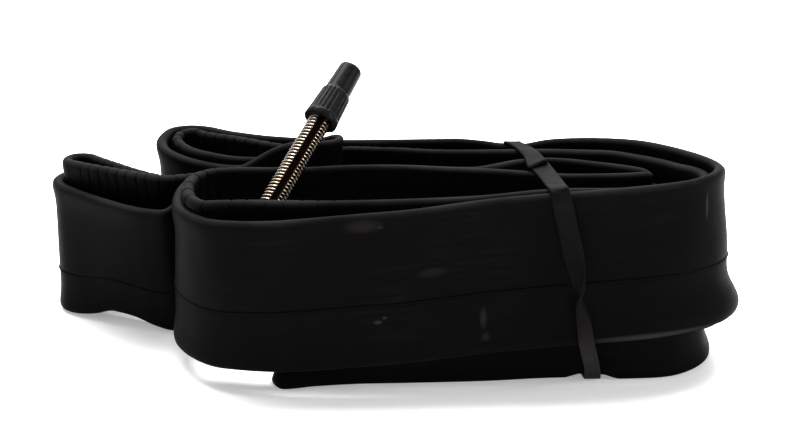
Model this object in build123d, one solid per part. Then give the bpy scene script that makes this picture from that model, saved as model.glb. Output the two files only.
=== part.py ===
from build123d import *
import math
import os

# Bicycle inner tube with a Presta valve, flattened, doubled and folded into a
# bundle that stands on its edge, held by one flat rubber band.
# Units are millimetres. +Z is up. The origin is at the centre of the bundle's
# footprint, on the surface it stands on. +X runs along the bundle.

# ---------------------------------------------------------------- dimensions
FLAT_WIDTH = 38.0          # width of the tube when it is pressed flat
WALL = 0.9                 # rubber wall; the collapsed strip is two walls thick
STRIP = 2 * WALL
FLOOR_NOTCH = 2.2          # lift of the strip's lower edge over the band
LAYOUT_SHIFT = (6.877, -326.939)   # layout table to object frame

VALVE_BASE = (-37.4, 298.0, 34.6)     # layout coordinates
VALVE_DIR = (0.426, 0.668, 0.612)
STEM_D = 6.0
STEM_PITCH = 1.0
STEM_THREAD_DEPTH = 0.45
STEM_ACROSS_FLATS = 5.6
STEM_FLATS_TURN = 32.0      # degrees about the stem, from the valve frame's Y
STEM_FOOT_D = 8.0
STEM_FOOT_T = 1.0
STEM_FOOT_START = 3.1
STEM_TOP = 40.1
STEM_BORE_D = 2.8
CORE_SOCKET_D = 4.2
CORE_SOCKET_START = 26.6
CORE_SHANK_D = 4.1
CORE_NOSE_D = 5.2
CORE_NOSE_TOP = 46.4
CORE_BORE_D = 2.3
PIN_D = 1.7
PIN_TOP = 54.0
PIN_FOOT_D = 2.5
NUT_D = 4.4
NUT_H = 3.2
NUT_START = 48.8
CAP_START = 39.5
CAP_LENGTH = 18.5
CAP_COLLAR_D = 9.1
CAP_COLLAR_H = 1.9
CAP_GRIP_D = (8.8, 7.9)      # lower and upper end of the ribbed grip
CAP_GRIP_END = 9.6
CAP_TOP_D = (6.9, 6.3)
CAP_GROOVE_COUNT = 20
CAP_GROOVE_R = 0.34
PATCH_HALF_X = 8.0
PATCH_HALF_Z = 9.5
PATCH_T = 1.2

BAND_WIDTH = 4.3
BAND_T = 1.0

os.makedirs("parts", exist_ok=True)

SX, SY = LAYOUT_SHIFT

# ------------------------------------------------------------ inner tube path
# The folded ring runs as a doubled strip. LEFT_LAYER and RIGHT_LAYER are its
# two layers, each listed from closed end A to closed end B as
# (x, y, height of the strip's upper edge).
LEFT_LAYER = [
    (63.6, 323.2, 46), (59, 321.5, 46), (50, 320.5, 46), (41.5, 320.3, 46), (34, 322.0, 46),
    (26, 324.0, 46), (20.8, 325.0, 46), (10.5, 327.0, 46), (3.2, 328.4, 46),
    (-6, 328.9, 46), (-14.9, 328.4, 46), (-23.5, 327.0, 46), (-32, 326.6, 46),
    (-42, 326.3, 46), (-48.4, 324.9, 46), (-52.0, 321.3, 46), (-53.4, 316.0, 46),
    (-52.8, 309.5, 46), (-51.0, 302.4, 46), (-47.4, 297.55, 46), (-42, 296.75, 46.3),
    (-36, 295.9, 46.7), (-30, 295.0, 47), (-23.7, 294.05, 47.3), (-15.6, 293.0, 47.6),
    (-7.6, 291.9, 48), (2.8, 291.0, 48.5), (18.7, 291.9, 49), (36, 293.5, 50),
    (50, 293.7, 50.3), (62, 294.6, 50.3), (70, 297.6, 50), (75.7, 303.4, 49.4),
    (78.3, 312, 49), (77.5, 320.5, 48), (74.2, 327.6, 47), (69.8, 334.2, 46.4),
    (64.4, 339.2, 46), (58, 342.2, 46), (50, 343.5, 46), (40, 344.2, 46),
    (27.6, 344.0, 46), (10.9, 344.4, 46), (-4.4, 347.6, 45.6), (-12, 350.0, 45.2),
    (-20, 350.7, 45), (-30, 350.4, 45.4), (-38, 351.7, 46.2), (-47.3, 356.6, 46.5),
    (-55.5, 361.5, 46.5), (-60.8, 364.2, 46.2), (-64.4, 363.7, 45.6),
    (-65.8, 360.9, 45), (-63.8, 356.9, 44.6), (-58.2, 352.5, 44.2),
    (-52, 349.4, 43.6), (-46, 347.5, 43.2), (-38, 347.0, 43.3), (-30, 347.4, 45.2),
    (-23, 348.0, 47.8), (-18.6, 348.0, 49.6), (-16.9, 345.8, 50), (-17.4, 342.9, 49),
    (-19.8, 340.8, 47.6), (-24, 340.1, 48.6), (-28.7, 339.6, 49.4), (-31.5, 339.4, 48.5),
    (-35, 339.2, 47.2), (-38, 338.9, 45.6), (-41.5, 338.6, 43.6), (-45, 338.3, 42.2), (-50, 337.1, 41),
    (-56.4, 335.8, 40.8), (-61, 335.3, 41), (-66.5, 336.5, 41.6),
    (-71.5, 338.7, 42.2), (-77, 342, 42.8), (-82.5, 345.9, 43.2),
    (-87.3, 348.8, 43.5), (-91.0, 348.4, 43.6), (-92.6, 345.5, 43.7),
    (-91.6, 342.5, 43.7), (-88, 340, 43.6), (-82, 336.9, 43.5), (-75, 333.4, 43.5),
    (-69.5, 330.8, 43.4), (-65.2, 329.0, 43.2), (-61.9, 328.4, 43),
    (-58.4, 330.3, 42.8), (-53.6, 333.2, 42.5), (-47, 334.7, 42.4),
    (-36, 335.1, 42.4), (-25, 335.6, 42.6), (-15, 336.9, 42.8), (0, 337.4, 43),
    (10, 336.3, 43), (20, 335.4, 43), (30, 338.0, 43), (38, 340.1, 43),
    (46.6, 339.7, 42.6), (54.8, 337.3, 42), (62.3, 334.2, 41.2), (68.8, 329.6, 40.2),
    (73.9, 323.3, 39.2), (75.5, 315, 38.6), (73.4, 306.0, 38.2), (67.0, 299.8, 38),
    (57, 297.5, 38), (40, 297.3, 38), (20, 295.8, 38), (0, 295.4, 38),
    (-12, 296.1, 38), (-20, 296.9, 38), (-24.5, 297.2, 38),
]
RIGHT_LAYER = [
    (63.6, 325.8, 46), (60.8, 327.2, 46.2), (55.8, 329.0, 46.4), (50.8, 331, 46.5), (45.3, 333.2, 46.5),
    (38.8, 333.9, 46.5), (31, 331.6, 46.5), (25, 328.9, 46.4), (20, 327.9, 46.2),
    (10.5, 329.8, 46), (3.2, 331.2, 46), (-6, 331.6, 46), (-15, 331.0, 46),
    (-23.5, 329.8, 46), (-32, 329.4, 46), (-42, 329.1, 46), (-49.5, 327.8, 45.4),
    (-54.4, 323.8, 44.6), (-56.8, 317.5, 43.8), (-56.8, 310.5, 43.2),
    (-55.3, 304, 43), (-51.6, 297.8, 43), (-45.6, 291.6, 43.3), (-39, 288.0, 44),
    (-30, 286.3, 44.6), (-21.9, 286.3, 45.2), (-10, 286.8, 46.2), (1.9, 287.2, 47.2),
    (18.6, 288.8, 48.8), (35.3, 290.4, 50), (49.5, 290.6, 51), (61.4, 291.2, 52),
    (70.6, 293.7, 52.3), (77.2, 299, 52.4), (81.2, 306, 52.4), (82.4, 314, 52),
    (81.0, 322, 51.6), (77.6, 330, 51), (72.6, 337, 50.2), (66.4, 343, 49),
    (58.6, 347.4, 47.8), (49.1, 350.2, 47), (40.8, 351.2, 46.5), (28.6, 351.6, 46),
    (16.6, 352.8, 46), (5.1, 353.4, 46), (-12, 353.7, 45.8), (-22, 353.6, 46),
    (-30.5, 353.6, 46.8), (-37.8, 354.9, 47), (-48.5, 360, 47), (-56, 364.5, 46.8),
    (-62, 367.5, 46), (-66.7, 366.9, 45), (-69.0, 362.4, 44), (-67.4, 357.2, 43.2),
    (-62, 351.6, 42.6), (-54.5, 346.9, 41.8), (-47, 344.7, 41.4), (-40, 344.3, 41.8),
    (-31, 344.8, 43.6), (-24, 345.3, 45.8), (-20.8, 345.4, 47), (-19.9, 344.3, 47),
    (-20.8, 343.2, 46.4), (-25, 342.6, 46.0), (-31, 341.9, 45.2), (-37, 341.5, 43),
    (-43, 341.0, 41), (-50, 339.9, 39.6), (-56.4, 338.7, 39.2), (-61, 338.3, 39), (-66, 339.4, 39),
    (-70.4, 341.5, 39), (-75.6, 344.8, 39), (-81, 348.6, 38.8), (-86.5, 352.0, 38.5),
    (-91.5, 352.4, 38), (-95.2, 349.2, 38), (-96.1, 344.6, 38), (-94, 340.2, 38),
    (-89.6, 337, 38), (-83.5, 334, 38), (-76.5, 330.6, 38), (-70.8, 328, 38),
    (-65.8, 326.0, 38), (-61.4, 325.3, 38), (-57.0, 327.3, 39), (-52, 330.4, 40.5),
    (-46, 331.9, 42), (-36, 332.3, 42.5), (-25, 332.8, 42.6), (-15, 334.1, 42.8),
    (0, 334.6, 43), (10, 333.5, 43), (20, 332.4, 43), (30, 335.2, 43),
    (38, 337.3, 43), (46, 336.9, 42.6), (54, 334.5, 42), (61, 331.5, 41.2),
    (67, 327.6, 40.2), (71.2, 322, 39.2), (72.7, 315, 38.6), (70.8, 307.5, 38.2),
    (65.4, 302.5, 38), (56.5, 300.3, 38), (40, 300.0, 38), (20, 298.5, 38),
    (0, 298.2, 38), (-12, 298.8, 38), (-20, 299.5, 38), (-24.5, 299.6, 38),
]
END_A = (64.8, 324.5, 46)
END_B = (-25.8, 298.4, 38)


def loop_points():
    """Control points of the closed ring: left layer out, right layer back."""
    pts = [END_A] + LEFT_LAYER + [END_B] + RIGHT_LAYER[::-1]
    return [(x + SX, y + SY, z) for x, y, z in pts]


def centripetal(p, step):
    """Closed centripetal Catmull-Rom spline through p, sampled about every step."""
    n = len(p)
    out = []
    for i in range(n):
        p0, p1, p2, p3 = p[i - 1], p[i], p[(i + 1) % n], p[(i + 2) % n]
        t = [0.0]
        for a, b in ((p0, p1), (p1, p2), (p2, p3)):
            t.append(t[-1] + max(math.dist(a[:2], b[:2]), 1e-6) ** 0.5)
        k = max(2, int(math.dist(p1[:2], p2[:2]) / step))
        for j in range(k):
            u = t[1] + (t[2] - t[1]) * j / k
            q = []
            for c in range(3):
                a1 = (t[1] - u) / (t[1] - t[0]) * p0[c] + (u - t[0]) / (t[1] - t[0]) * p1[c]
                a2 = (t[2] - u) / (t[2] - t[1]) * p1[c] + (u - t[1]) / (t[2] - t[1]) * p2[c]
                a3 = (t[3] - u) / (t[3] - t[2]) * p2[c] + (u - t[2]) / (t[3] - t[2]) * p3[c]
                b1 = (t[2] - u) / (t[2] - t[0]) * a1 + (u - t[0]) / (t[2] - t[0]) * a2
                b2 = (t[3] - u) / (t[3] - t[1]) * a2 + (u - t[1]) / (t[3] - t[1]) * a3
                q.append((t[2] - u) / (t[2] - t[1]) * b1 + (u - t[1]) / (t[2] - t[1]) * b2)
            out.append(tuple(q))
    return out


def thin(pts, tol, longest):
    """Drop points that lie within tol of the chord of their neighbours."""
    keep = [pts[0]]
    i = 0
    while i < len(pts) - 1:
        j = i + 1
        while j + 1 < len(pts):
            a, b = pts[i], pts[j + 1]
            ab = math.dist(a[:2], b[:2])
            if ab > longest:
                break
            worst = 0.0
            for c in pts[i + 1:j + 1]:
                d = abs((b[0] - a[0]) * (c[1] - a[1]) - (b[1] - a[1]) * (c[0] - a[0])) / max(ab, 1e-9)
                worst = max(worst, d)
            if worst > tol:
                break
            j += 1
        keep.append(pts[j])
        i = j
    if math.dist(keep[0][:2], keep[-1][:2]) < 0.4:
        keep.pop()
    return keep


# -------------------------------------------------------------- rubber band
# The band lies in one leaning plane: x = BX + BZ*z + BY*y (object frame).
BAND_BZ = -0.206
BAND_BY = -0.110
BAND_BX = (38.0 + SX) - BAND_BZ * 51.0 - BAND_BY * (290.0 + SY)


def band_x(y, z):
    return BAND_BX + BAND_BZ * z + BAND_BY * y


def lower_edge(x, y, top):
    """Height of the strip's lower edge, lifted where the band passes under it."""
    low = max(top - FLAT_WIDTH, 0.0)
    d = abs(x - band_x(y, 0.0))
    lift = FLOOR_NOTCH * min(1.0, max(0.0, (9.5 - d) / 4.0))
    return max(low, lift)


ring = thin(centripetal(loop_points(), 0.5), 0.12, 12.0)
length = sum(math.dist(ring[i - 1][:2], ring[i][:2]) for i in range(len(ring)))
print("ring points", len(ring), "length mm", round(length, 1))


def ribbon_solid(pts, thickness):
    """One closed strip standing on edge, following pts, as a single solid."""
    n = len(pts)
    inner, outer = [], []
    for i in range(n):
        a, b, c = pts[i - 1], pts[i], pts[(i + 1) % n]
        d1 = (b[0] - a[0], b[1] - a[1])
        d2 = (c[0] - b[0], c[1] - b[1])
        l1, l2 = math.hypot(*d1), math.hypot(*d2)
        n1 = (-d1[1] / l1, d1[0] / l1)
        n2 = (-d2[1] / l2, d2[0] / l2)
        m = (n1[0] + n2[0], n1[1] + n2[1])
        k = (thickness / 2) / max(0.5 * (m[0] ** 2 + m[1] ** 2), 0.5)
        m = (m[0] * k, m[1] * k)
        inner.append((b[0] + m[0], b[1] + m[1]))
        outer.append((b[0] - m[0], b[1] - m[1]))
    top = [p[2] for p in pts]
    low = [lower_edge(*p) for p in pts]

    def v(p, z):
        return (p[0], p[1], z)

    faces = []

    def face(*corners):
        faces.append(Face(Wire.make_polygon(list(corners), close=True)))

    for i in range(n):
        j = (i + 1) % n
        face(v(outer[i], low[i]), v(outer[j], low[j]), v(outer[j], top[j]), v(outer[i], top[i]))
        face(v(inner[j], low[j]), v(inner[i], low[i]), v(inner[i], top[i]), v(inner[j], top[j]))
        face(v(outer[i], top[i]), v(outer[j], top[j]), v(inner[i], top[i]))
        face(v(outer[j], top[j]), v(inner[j], top[j]), v(inner[i], top[i]))
        face(v(outer[j], low[j]), v(outer[i], low[i]), v(inner[i], low[i]))
        face(v(outer[j], low[j]), v(inner[i], low[i]), v(inner[j], low[j]))
    return Solid(Shell(faces))


tube = ribbon_solid(ring, STRIP)
print("inner_tube valid", tube.is_valid, "volume", round(tube.volume, 1),
      "expected", round(length * STRIP * FLAT_WIDTH, 1))
bb = tube.bounding_box()
print("tube box", bb)

# -------------------------------------------------------------------- valve
base = Vector(VALVE_BASE[0] + SX, VALVE_BASE[1] + SY, VALVE_BASE[2])
axis = Vector(*VALVE_DIR).normalized()
side = axis.cross(Vector(0, 0, 1)).normalized()
valve = Plane(origin=base, x_dir=side, z_dir=axis)


def disc(d, z0, z1):
    return Pos(0, 0, z0) * Cylinder(d / 2, z1 - z0, align=(Align.CENTER, Align.CENTER, Align.MIN))


def taper(d0, d1, z0, z1):
    return Pos(0, 0, z0) * Cone(d0 / 2, d1 / 2, z1 - z0, align=(Align.CENTER, Align.CENTER, Align.MIN))


# Threaded stem: ring grooves stand in for the helix; two flats run its length.
stem_profile = [(0, STEM_FOOT_START), (STEM_FOOT_D / 2, STEM_FOOT_START),
                (STEM_FOOT_D / 2, STEM_FOOT_START + STEM_FOOT_T), (STEM_D / 2, STEM_FOOT_START + STEM_FOOT_T)]
z = 9.3
while z + STEM_PITCH < STEM_TOP - 0.6:
    stem_profile += [(STEM_D / 2, z), (STEM_D / 2 - STEM_THREAD_DEPTH, z + 0.36 * STEM_PITCH),
                     (STEM_D / 2 - STEM_THREAD_DEPTH, z + 0.5 * STEM_PITCH), (STEM_D / 2, z + 0.86 * STEM_PITCH)]
    z += STEM_PITCH
stem_profile += [(STEM_D / 2, STEM_TOP - 0.4), (STEM_D / 2 - 0.4, STEM_TOP), (0, STEM_TOP)]
with BuildPart() as stem_b:
    with BuildSketch(Plane.XZ) as sk:
        with BuildLine():
            Polyline(*stem_profile, close=True)
        make_face()
    revolve(axis=Axis.Z)
stem = stem_b.part
cutter = Box(10, 4, STEM_TOP - 8.0, align=(Align.CENTER, Align.MIN, Align.MIN))
for turn in (STEM_FLATS_TURN, STEM_FLATS_TURN + 180):
    stem = stem - Rot(0, 0, turn) * Pos(0, STEM_ACROSS_FLATS / 2, 9.2) * cutter
stem = stem - disc(STEM_BORE_D, 0.0, STEM_TOP + 1) - disc(CORE_SOCKET_D, CORE_SOCKET_START, STEM_TOP + 1)

# Core: shank in the stem's socket, shoulder and 5.2 mm nose with two wrench flats.
core = disc(CORE_SHANK_D, 28.0, STEM_TOP) + disc(CORE_NOSE_D, STEM_TOP, CORE_NOSE_TOP)
for k in range(7):
    g = 41.6 + k * 0.6
    core = core - (disc(CORE_NOSE_D + 1, g, g + 0.26) - disc(CORE_NOSE_D - 0.4, g - 0.1, g + 0.36))
flat = Box(8, 3, 4.4, align=(Align.CENTER, Align.MIN, Align.MIN))
core = core - Pos(0, 2.2, 41.8) * flat - Pos(0, -2.2, 41.8) * Rot(0, 0, 180) * flat
core = core - disc(CORE_BORE_D, 27.0, CORE_NOSE_TOP + 1)

# Gasket between the core's foot and the step in the stem's socket.
seal = disc(CORE_SHANK_D, CORE_SOCKET_START, 28.0) - disc(3.0, CORE_SOCKET_START - 1, 29.0)

# Pin with a seal on its foot; it is pressed in to let air through.
pin = disc(PIN_D, 24.6, PIN_TOP - 0.5) + disc(2.1, PIN_TOP - 0.5, PIN_TOP) + disc(PIN_FOOT_D, 24.0, 24.9)
pin_seal = disc(2.6, 24.9, 26.6) - disc(PIN_D, 24.0, 27.5)

# Knurled lock nut on the pin, backed off from the core's nose.
nut = disc(NUT_D, NUT_START + 0.6, NUT_START + NUT_H) + taper(3.2, NUT_D, NUT_START, NUT_START + 0.6)
for k in range(16):
    nut = nut - Rot(0, 0, k * 22.5) * Pos(NUT_D / 2 + 0.12, 0, NUT_START + 0.6) * Cylinder(
        0.26, NUT_H, align=(Align.CENTER, Align.CENTER, Align.MIN))
nut = nut - disc(PIN_D + 0.1, NUT_START - 1, NUT_START + NUT_H + 1)

# Dust cap: flared collar, tapered grip with grooves, and a smooth narrower top.
c0 = CAP_START
g0 = c0 + CAP_COLLAR_H
g1 = c0 + CAP_GRIP_END
cap = taper(CAP_COLLAR_D, CAP_COLLAR_D - 0.2, c0, g0) + taper(CAP_GRIP_D[0], CAP_GRIP_D[1], g0, g1 - 0.4)
cap = cap + taper(CAP_GRIP_D[1], CAP_TOP_D[0], g1 - 0.4, g1)
cap = cap + taper(CAP_TOP_D[0], CAP_TOP_D[1], g1 - 0.3, c0 + CAP_LENGTH)
top_edge = cap.edges().sort_by(Axis.Z)[-1]
cap = fillet([top_edge], 0.9)
lean = math.degrees(math.atan((CAP_GRIP_D[0] - CAP_GRIP_D[1]) / 2 / (g1 - 0.4 - g0)))
for k in range(CAP_GROOVE_COUNT):
    cap = cap - (Rot(0, 0, k * 360 / CAP_GROOVE_COUNT) * Pos(CAP_GRIP_D[0] / 2 + 0.08, 0, g0)
                 * Rot(0, -lean, 0) * Cylinder(CAP_GROOVE_R, 8.2, align=(Align.CENTER, Align.CENTER, Align.MIN)))
cap = cap - disc(6.2, c0 - 1, STEM_TOP + 0.4) - disc(5.4, c0, 48.0) - disc(5.0, 47.5, c0 + CAP_LENGTH - 2.2)

# Rubber patch: pad bonded to the strip, with a collar that leans with the stem.
# The strip is straight behind the pad; PAD_P and PAD_Q lie on its centre line.
PAD_P = Vector(-47.4 + SX, 297.55 + SY, 34.4)
PAD_Q = Vector(-30 + SX, 295.0 + SY, 34.4)
along = (PAD_Q - PAD_P).normalized()
out = Vector(0, 0, 1).cross(along).normalized()
pad_centre = PAD_P + along * 8.2 + out * (STRIP / 2 - 0.02)
pad_plane = Plane(origin=pad_centre, x_dir=along, z_dir=out)
with BuildPart() as pad_b:
    with BuildSketch(pad_plane):
        RectangleRounded(2 * PATCH_HALF_X, 2 * PATCH_HALF_Z, 5.0)
    extrude(amount=PATCH_T)
half_space = pad_plane * Box(80, 80, 40, align=(Align.CENTER, Align.CENTER, Align.MIN))
collar = (valve * taper(15.4, 8.4, -6.0, 8.8)) & half_space
patch = pad_b.part + collar
patch = patch - valve * (disc(STEM_D, STEM_FOOT_START, 30) + disc(STEM_FOOT_D, STEM_FOOT_START, STEM_FOOT_START + STEM_FOOT_T)
                         + disc(STEM_BORE_D, -8, STEM_FOOT_START + 0.5))

# --------------------------------------------------------------- rubber band
# Outline in the band's plane, as (y, z) pairs projected onto that plane.
outline_yz = [(289.0, 8.0), (288.9, 48.4), (290.0, 52.1), (293.0, 52.8), (320.0, 48.6), (351.0, 48.1),
              (353.5, 45.6), (353.4, 12.0), (352.0, 7.2), (341.0, 4.2), (302.4, 1.55), (296.4, 1.55),
              (294.4, 2.6)]
normal = Vector(1, -BAND_BY, -BAND_BZ).normalized()
corners = [Vector(band_x(y + SY, zz), y + SY, zz) for y, zz in outline_yz]
band_plane = Plane(origin=corners[0], z_dir=normal, x_dir=(corners[1] - corners[0]))
local = [band_plane.to_local_coords(p) for p in corners]
flat_pts = [(p.X, p.Y) for p in local]
with BuildPart() as band_b:
    with BuildSketch(band_plane):
        with BuildLine():
            FilletPolyline(*flat_pts, radius=1.2, close=True)
        make_face()
        offset(amount=BAND_T, mode=Mode.ADD, kind=Kind.ARC)
        with BuildLine():
            FilletPolyline(*flat_pts, radius=1.2, close=True)
        make_face(mode=Mode.SUBTRACT)
    extrude(amount=BAND_WIDTH / 2, both=True)
band = band_b.part

PARTS = {
    "inner_tube": tube,
    "valve_patch": patch,
    "valve_stem": valve * stem,
    "core_body": valve * core,
    "core_seal": valve * seal,
    "core_pin": valve * pin,
    "pin_seal": valve * pin_seal,
    "lock_nut": valve * nut,
    "dust_cap": valve * cap,
    "rubber_band": band,
}
lo = [1e9] * 3
hi = [-1e9] * 3
for name, shape in PARTS.items():
    shape.label = name
    export_step(shape, "parts/" + name + ".step")
    b = shape.bounding_box()
    for k, (p, q) in enumerate(zip(b.min, b.max)):
        lo[k] = min(lo[k], p)
        hi[k] = max(hi[k], q)
    print(name, round(shape.volume, 2), [round(c, 2) for c in b.min], [round(c, 2) for c in b.max])
print("box", [round(c, 3) for c in lo], [round(c, 3) for c in hi],
      "centre", round((lo[0] + hi[0]) / 2, 3), round((lo[1] + hi[1]) / 2, 3))
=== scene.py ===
import bpy
import math
import numpy as np
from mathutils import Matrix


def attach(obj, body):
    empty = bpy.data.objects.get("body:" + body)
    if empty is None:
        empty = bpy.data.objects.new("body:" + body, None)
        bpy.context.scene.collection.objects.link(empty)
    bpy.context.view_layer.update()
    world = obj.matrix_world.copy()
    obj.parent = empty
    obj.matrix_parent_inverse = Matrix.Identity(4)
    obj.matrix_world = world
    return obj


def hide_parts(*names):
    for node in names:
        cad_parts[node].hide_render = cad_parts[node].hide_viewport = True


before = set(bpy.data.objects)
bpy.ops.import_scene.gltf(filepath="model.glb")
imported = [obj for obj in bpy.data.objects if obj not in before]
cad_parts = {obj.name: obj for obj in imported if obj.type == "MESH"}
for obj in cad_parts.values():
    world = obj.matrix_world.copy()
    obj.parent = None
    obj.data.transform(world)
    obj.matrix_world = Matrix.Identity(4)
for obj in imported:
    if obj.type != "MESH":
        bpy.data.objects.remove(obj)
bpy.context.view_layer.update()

MM = 0.001
SX, SY = 6.877, -326.939          # layout table to object frame, mm
H = 38.0                          # flat width of the tube
rng = np.random.RandomState(7)


# ------------------------------------------------------------------ helpers
def mesh_object(name, verts, faces, uvs=None, smooth=True):
    """verts in mm in the object frame."""
    me = bpy.data.meshes.new(name)
    me.from_pydata((np.asarray(verts, float) * MM).tolist(), [], [list(map(int, f)) for f in faces])
    if uvs is not None:
        uv = me.uv_layers.new(name="UVMap")
        idx = np.empty(len(me.loops), dtype=np.int64)
        me.loops.foreach_get("vertex_index", idx)
        uv.data.foreach_set("uv", np.asarray(uvs, float)[idx].ravel())
    me.validate()
    me.update()
    ob = bpy.data.objects.new(name, me)
    bpy.context.scene.collection.objects.link(ob)
    if smooth:
        me.polygons.foreach_set("use_smooth", [True] * len(me.polygons))
    return ob


def grid_faces(n, m, wrap_n=True, wrap_m=True):
    """Quads of an n by m grid of points, index i*m+j."""
    i = np.arange(n if wrap_n else n - 1)
    j = np.arange(m if wrap_m else m - 1)
    I, J = np.meshgrid(i, j, indexing="ij")
    I2, J2 = (I + 1) % n, (J + 1) % m
    return np.stack([I * m + J, I2 * m + J, I2 * m + J2, I * m + J2], -1).reshape(-1, 4)


def smooth_noise(x, waves, seed, period=None):
    """Sum of sines with random phases; waves is a list of (wavelength, amplitude)."""
    r = np.random.RandomState(seed)
    out = np.zeros_like(x, dtype=float)
    for w, a in waves:
        if period:
            w = period / max(1, round(period / w))
        out += a * np.sin(2 * np.pi * x / w + r.uniform(0, 2 * np.pi))
    return out


def sstep(x, a, b):
    t = np.clip((x - a) / (b - a), 0, 1)
    return t * t * (3 - 2 * t)


# ------------------------------------------------------------ the tube's run
# x, y, height of the upper edge; b and t move the lower and upper edge
# sideways; rib is how strongly the strip is creased across, puff how far its
# edges stand open, bulge a belly near the lower edge, seam the seam's height,
# lift how far the lower edge is drawn up.
def P(x, y, top, b=(0, 0), t=(0, 0), rib=0.0, puff=0.0, bulge=0.0, seam=15.2, lift=0.0):
    return (x, y, top, b[0], b[1], t[0], t[1], rib, puff, bulge, seam, lift)


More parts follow.
